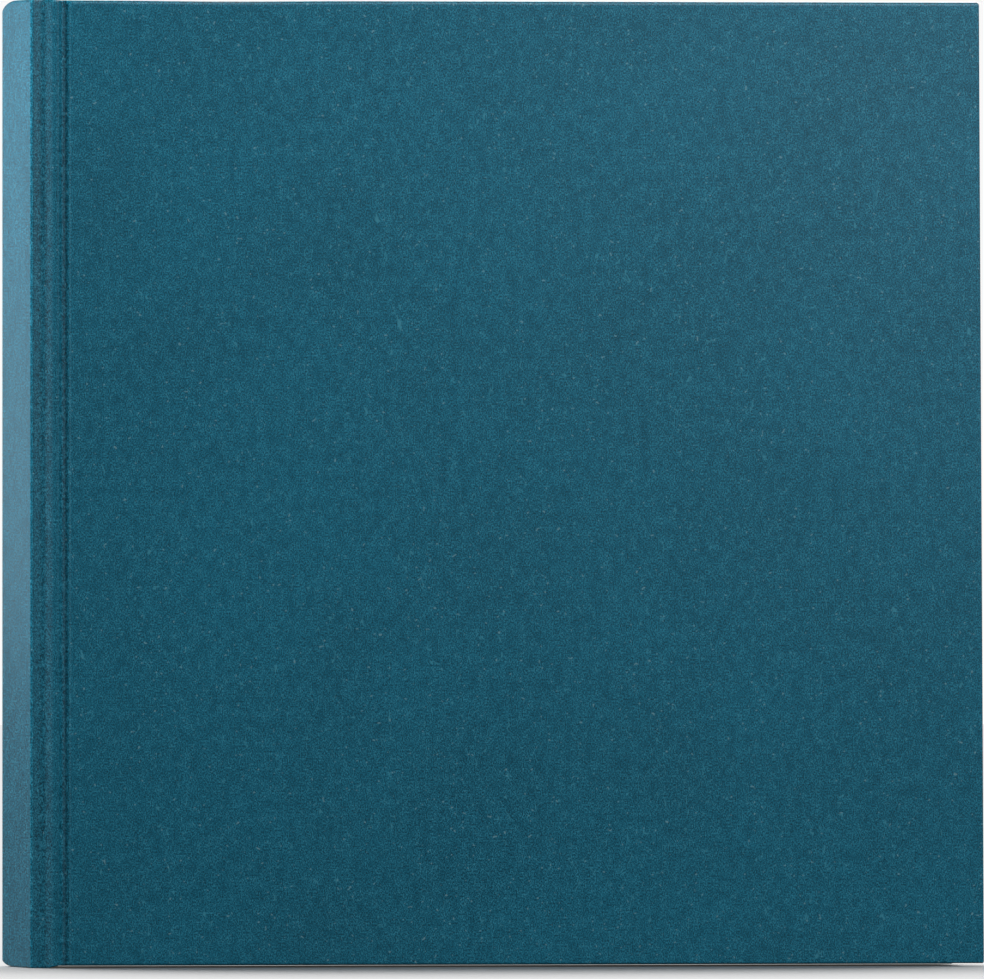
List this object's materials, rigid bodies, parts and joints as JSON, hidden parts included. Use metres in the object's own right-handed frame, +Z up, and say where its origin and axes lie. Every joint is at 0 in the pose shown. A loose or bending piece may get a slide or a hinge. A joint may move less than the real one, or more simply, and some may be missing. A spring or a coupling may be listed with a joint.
{
  "type": "scrapbook album",
  "caption": "Bookbound square scrapbook album in plain coloured paper, with hinged hard covers and thick card leaves that turn at scored folds.",
  "frame": {"origin": "centre of the base, on the surface the album stands on", "axes": "+Z up the spine from tail to head, -Y out of the front cover, -X out of the spine, +X to the fore-edge"},
  "size_m": [0.3, 0.05, 0.3],
  "materials": {
    "covering_paper": "matt, fibrous",
    "greyboard": "matt",
    "endpaper": "matt",
    "leaf_card": "matt",
    "guard_card": "matt",
    "kraft_lining": "matt",
    "gauze": "open weave",
    "band_cloth": "woven, satin"
  },
  "bodies": {
    "spine_block": {"spine_board": "greyboard", "spine_covering": "covering_paper", "spine_lining": "kraft_lining", "spine_gauze": "gauze", "headband": "band_cloth", "tailband": "band_cloth", "guard_section_1": "guard_card", "guard_section_2": "guard_card", "guard_section_3": "guard_card", "guard_section_4": "guard_card", "guard_section_5": "guard_card"},
    "front_cover": {"front_board": "greyboard", "front_covering": "covering_paper", "front_pastedown": "endpaper"},
    "back_cover": {"back_board": "greyboard", "back_covering": "covering_paper", "back_pastedown": "endpaper"},
    "front_flyleaf": {"front_flyleaf": "endpaper"},
    "back_flyleaf": {"back_flyleaf": "endpaper"},
    "leaf_01": {"leaf_01": "leaf_card"},
    "leaf_02": {"leaf_02": "leaf_card"},
    "leaf_03": {"leaf_03": "leaf_card"},
    "leaf_04": {"leaf_04": "leaf_card"},
    "leaf_05": {"leaf_05": "leaf_card"},
    "leaf_06": {"leaf_06": "leaf_card"},
    "leaf_07": {"leaf_07": "leaf_card"},
    "leaf_08": {"leaf_08": "leaf_card"},
    "leaf_09": {"leaf_09": "leaf_card"},
    "leaf_10": {"leaf_10": "leaf_card"},
    "leaf_11": {"leaf_11": "leaf_card"},
    "leaf_12": {"leaf_12": "leaf_card"},
    "leaf_13": {"leaf_13": "leaf_card"},
    "leaf_14": {"leaf_14": "leaf_card"},
    "leaf_15": {"leaf_15": "leaf_card"},
    "leaf_16": {"leaf_16": "leaf_card"},
    "leaf_17": {"leaf_17": "leaf_card"},
    "leaf_18": {"leaf_18": "leaf_card"},
    "leaf_19": {"leaf_19": "leaf_card"},
    "leaf_20": {"leaf_20": "leaf_card"},
    "leaf_21": {"leaf_21": "leaf_card"},
    "leaf_22": {"leaf_22": "leaf_card"},
    "leaf_23": {"leaf_23": "leaf_card"},
    "leaf_24": {"leaf_24": "leaf_card"},
    "leaf_25": {"leaf_25": "leaf_card"},
    "leaf_26": {"leaf_26": "leaf_card"},
    "leaf_27": {"leaf_27": "leaf_card"},
    "leaf_28": {"leaf_28": "leaf_card"},
    "leaf_29": {"leaf_29": "leaf_card"},
    "leaf_30": {"leaf_30": "leaf_card"}
  },
  "joints": [
    {"name": "front_cover_hinge", "type": "hinge", "parent": "spine_block", "child": "front_cover", "pos_m": [-0.1397, -0.0253, 0.15], "axis": [0, 0, -1], "range_deg": [0, 180]},
    {"name": "back_cover_hinge", "type": "hinge", "parent": "spine_block", "child": "back_cover", "pos_m": [-0.1397, 0.0253, 0.15], "axis": [0, 0, 1], "range_deg": [0, 180]},
    {"name": "front_flyleaf_hinge", "type": "hinge", "parent": "spine_block", "child": "front_flyleaf", "pos_m": [-0.134, -0.02075, 0.15], "axis": [0, 0, -1], "range_deg": [0, 94]},
    {"name": "back_flyleaf_hinge", "type": "hinge", "parent": "spine_block", "child": "back_flyleaf", "pos_m": [-0.134, 0.02075, 0.15], "axis": [0, 0, 1], "range_deg": [0, 94]},
    {"name": "leaf_01_hinge", "type": "hinge", "parent": "spine_block", "child": "leaf_01", "pos_m": [-0.127, -0.01972, 0.15], "axis": [0, 0, -1], "range_deg": [0, 80]},
    {"name": "leaf_02_hinge", "type": "hinge", "parent": "spine_block", "child": "leaf_02", "pos_m": [-0.127, -0.01836, 0.15], "axis": [0, 0, -1], "range_deg": [0, 74.67]},
    {"name": "leaf_03_hinge", "type": "hinge", "parent": "spine_block", "child": "leaf_03", "pos_m": [-0.127, -0.017, 0.15], "axis": [0, 0, -1], "range_deg": [0, 69.33]},
    {"name": "leaf_04_hinge", "type": "hinge", "parent": "spine_block", "child": "leaf_04", "pos_m": [-0.127, -0.01564, 0.15], "axis": [0, 0, -1], "range_deg": [0, 64]},
    {"name": "leaf_05_hinge", "type": "hinge", "parent": "spine_block", "child": "leaf_05", "pos_m": [-0.127, -0.01428, 0.15], "axis": [0, 0, -1], "range_deg": [0, 58.67]},
    {"name": "leaf_06_hinge", "type": "hinge", "parent": "spine_block", "child": "leaf_06", "pos_m": [-0.127, -0.01292, 0.15], "axis": [0, 0, -1], "range_deg": [0, 53.33]},
    {"name": "leaf_07_hinge", "type": "hinge", "parent": "spine_block", "child": "leaf_07", "pos_m": [-0.127, -0.01156, 0.15], "axis": [0, 0, -1], "range_deg": [0, 48]},
    {"name": "leaf_08_hinge", "type": "hinge", "parent": "spine_block", "child": "leaf_08", "pos_m": [-0.127, -0.0102, 0.15], "axis": [0, 0, -1], "range_deg": [0, 42.67]},
    {"name": "leaf_09_hinge", "type": "hinge", "parent": "spine_block", "child": "leaf_09", "pos_m": [-0.127, -0.00884, 0.15], "axis": [0, 0, -1], "range_deg": [0, 37.33]},
    {"name": "leaf_10_hinge", "type": "hinge", "parent": "spine_block", "child": "leaf_10", "pos_m": [-0.127, -0.00748, 0.15], "axis": [0, 0, -1], "range_deg": [0, 32]},
    {"name": "leaf_11_hinge", "type": "hinge", "parent": "spine_block", "child": "leaf_11", "pos_m": [-0.127, -0.00612, 0.15], "axis": [0, 0, -1], "range_deg": [0, 26.67]},
    {"name": "leaf_12_hinge", "type": "hinge", "parent": "spine_block", "child": "leaf_12", "pos_m": [-0.127, -0.00476, 0.15], "axis": [0, 0, -1], "range_deg": [0, 21.33]},
    {"name": "leaf_13_hinge", "type": "hinge", "parent": "spine_block", "child": "leaf_13", "pos_m": [-0.127, -0.0034, 0.15], "axis": [0, 0, -1], "range_deg": [0, 16]},
    {"name": "leaf_14_hinge", "type": "hinge", "parent": "spine_block", "child": "leaf_14", "pos_m": [-0.127, -0.00204, 0.15], "axis": [0, 0, -1], "range_deg": [0, 10.67]},
    {"name": "leaf_15_hinge", "type": "hinge", "parent": "spine_block", "child": "leaf_15", "pos_m": [-0.127, -0.00068, 0.15], "axis": [0, 0, -1], "range_deg": [0, 5.33]},
    {"name": "leaf_16_hinge", "type": "hinge", "parent": "spine_block", "child": "leaf_16", "pos_m": [-0.127, 0.00068, 0.15], "axis": [0, 0, 1], "range_deg": [0, 5.33]},
    {"name": "leaf_17_hinge", "type": "hinge", "parent": "spine_block", "child": "leaf_17", "pos_m": [-0.127, 0.00204, 0.15], "axis": [0, 0, 1], "range_deg": [0, 10.67]},
    {"name": "leaf_18_hinge", "type": "hinge", "parent": "spine_block", "child": "leaf_18", "pos_m": [-0.127, 0.0034, 0.15], "axis": [0, 0, 1], "range_deg": [0, 16]},
    {"name": "leaf_19_hinge", "type": "hinge", "parent": "spine_block", "child": "leaf_19", "pos_m": [-0.127, 0.00476, 0.15], "axis": [0, 0, 1], "range_deg": [0, 21.33]},
    {"name": "leaf_20_hinge", "type": "hinge", "parent": "spine_block", "child": "leaf_20", "pos_m": [-0.127, 0.00612, 0.15], "axis": [0, 0, 1], "range_deg": [0, 26.67]},
    {"name": "leaf_21_hinge", "type": "hinge", "parent": "spine_block", "child": "leaf_21", "pos_m": [-0.127, 0.00748, 0.15], "axis": [0, 0, 1], "range_deg": [0, 32]},
    {"name": "leaf_22_hinge", "type": "hinge", "parent": "spine_block", "child": "leaf_22", "pos_m": [-0.127, 0.00884, 0.15], "axis": [0, 0, 1], "range_deg": [0, 37.33]},
    {"name": "leaf_23_hinge", "type": "hinge", "parent": "spine_block", "child": "leaf_23", "pos_m": [-0.127, 0.0102, 0.15], "axis": [0, 0, 1], "range_deg": [0, 42.67]},
    {"name": "leaf_24_hinge", "type": "hinge", "parent": "spine_block", "child": "leaf_24", "pos_m": [-0.127, 0.01156, 0.15], "axis": [0, 0, 1], "range_deg": [0, 48]},
    {"name": "leaf_25_hinge", "type": "hinge", "parent": "spine_block", "child": "leaf_25", "pos_m": [-0.127, 0.01292, 0.15], "axis": [0, 0, 1], "range_deg": [0, 53.33]},
    {"name": "leaf_26_hinge", "type": "hinge", "parent": "spine_block", "child": "leaf_26", "pos_m": [-0.127, 0.01428, 0.15], "axis": [0, 0, 1], "range_deg": [0, 58.67]},
    {"name": "leaf_27_hinge", "type": "hinge", "parent": "spine_block", "child": "leaf_27", "pos_m": [-0.127, 0.01564, 0.15], "axis": [0, 0, 1], "range_deg": [0, 64]},
    {"name": "leaf_28_hinge", "type": "hinge", "parent": "spine_block", "child": "leaf_28", "pos_m": [-0.127, 0.017, 0.15], "axis": [0, 0, 1], "range_deg": [0, 69.33]},
    {"name": "leaf_29_hinge", "type": "hinge", "parent": "spine_block", "child": "leaf_29", "pos_m": [-0.127, 0.01836, 0.15], "axis": [0, 0, 1], "range_deg": [0, 74.67]},
    {"name": "leaf_30_hinge", "type": "hinge", "parent": "spine_block", "child": "leaf_30", "pos_m": [-0.127, 0.01972, 0.15], "axis": [0, 0, 1], "range_deg": [0, 80]}
  ],
  "couplings": [
    {"joint": "front_flyleaf_hinge", "follows": "front_cover_hinge", "ratio": 0.52},
    {"joint": "back_flyleaf_hinge", "follows": "back_cover_hinge", "ratio": 0.52},
    {"joint": "leaf_01_hinge", "follows": "front_cover_hinge", "ratio": 0.44444},
    {"joint": "leaf_02_hinge", "follows": "front_cover_hinge", "ratio": 0.41481},
    {"joint": "leaf_03_hinge", "follows": "front_cover_hinge", "ratio": 0.38518},
    {"joint": "leaf_04_hinge", "follows": "front_cover_hinge", "ratio": 0.35555},
    {"joint": "leaf_05_hinge", "follows": "front_cover_hinge", "ratio": 0.32592},
    {"joint": "leaf_06_hinge", "follows": "front_cover_hinge", "ratio": 0.29629},
    {"joint": "leaf_07_hinge", "follows": "front_cover_hinge", "ratio": 0.26666},
    {"joint": "leaf_08_hinge", "follows": "front_cover_hinge", "ratio": 0.23703},
    {"joint": "leaf_09_hinge", "follows": "front_cover_hinge", "ratio": 0.2074},
    {"joint": "leaf_10_hinge", "follows": "front_cover_hinge", "ratio": 0.17777},
    {"joint": "leaf_11_hinge", "follows": "front_cover_hinge", "ratio": 0.14814},
    {"joint": "leaf_12_hinge", "follows": "front_cover_hinge", "ratio": 0.11851},
    {"joint": "leaf_13_hinge", "follows": "front_cover_hinge", "ratio": 0.08888},
    {"joint": "leaf_14_hinge", "follows": "front_cover_hinge", "ratio": 0.05925},
    {"joint": "leaf_15_hinge", "follows": "front_cover_hinge", "ratio": 0.02962},
    {"joint": "leaf_16_hinge", "follows": "back_cover_hinge", "ratio": 0.02962},
    {"joint": "leaf_17_hinge", "follows": "back_cover_hinge", "ratio": 0.05925},
    {"joint": "leaf_18_hinge", "follows": "back_cover_hinge", "ratio": 0.08888},
    {"joint": "leaf_19_hinge", "follows": "back_cover_hinge", "ratio": 0.11851},
    {"joint": "leaf_20_hinge", "follows": "back_cover_hinge", "ratio": 0.14814},
    {"joint": "leaf_21_hinge", "follows": "back_cover_hinge", "ratio": 0.17777},
    {"joint": "leaf_22_hinge", "follows": "back_cover_hinge", "ratio": 0.2074},
    {"joint": "leaf_23_hinge", "follows": "back_cover_hinge", "ratio": 0.23703},
    {"joint": "leaf_24_hinge", "follows": "back_cover_hinge", "ratio": 0.26666},
    {"joint": "leaf_25_hinge", "follows": "back_cover_hinge", "ratio": 0.29629},
    {"joint": "leaf_26_hinge", "follows": "back_cover_hinge", "ratio": 0.32592},
    {"joint": "leaf_27_hinge", "follows": "back_cover_hinge", "ratio": 0.35555},
    {"joint": "leaf_28_hinge", "follows": "back_cover_hinge", "ratio": 0.38518},
    {"joint": "leaf_29_hinge", "follows": "back_cover_hinge", "ratio": 0.41481},
    {"joint": "leaf_30_hinge", "follows": "back_cover_hinge", "ratio": 0.44444}
  ]
}
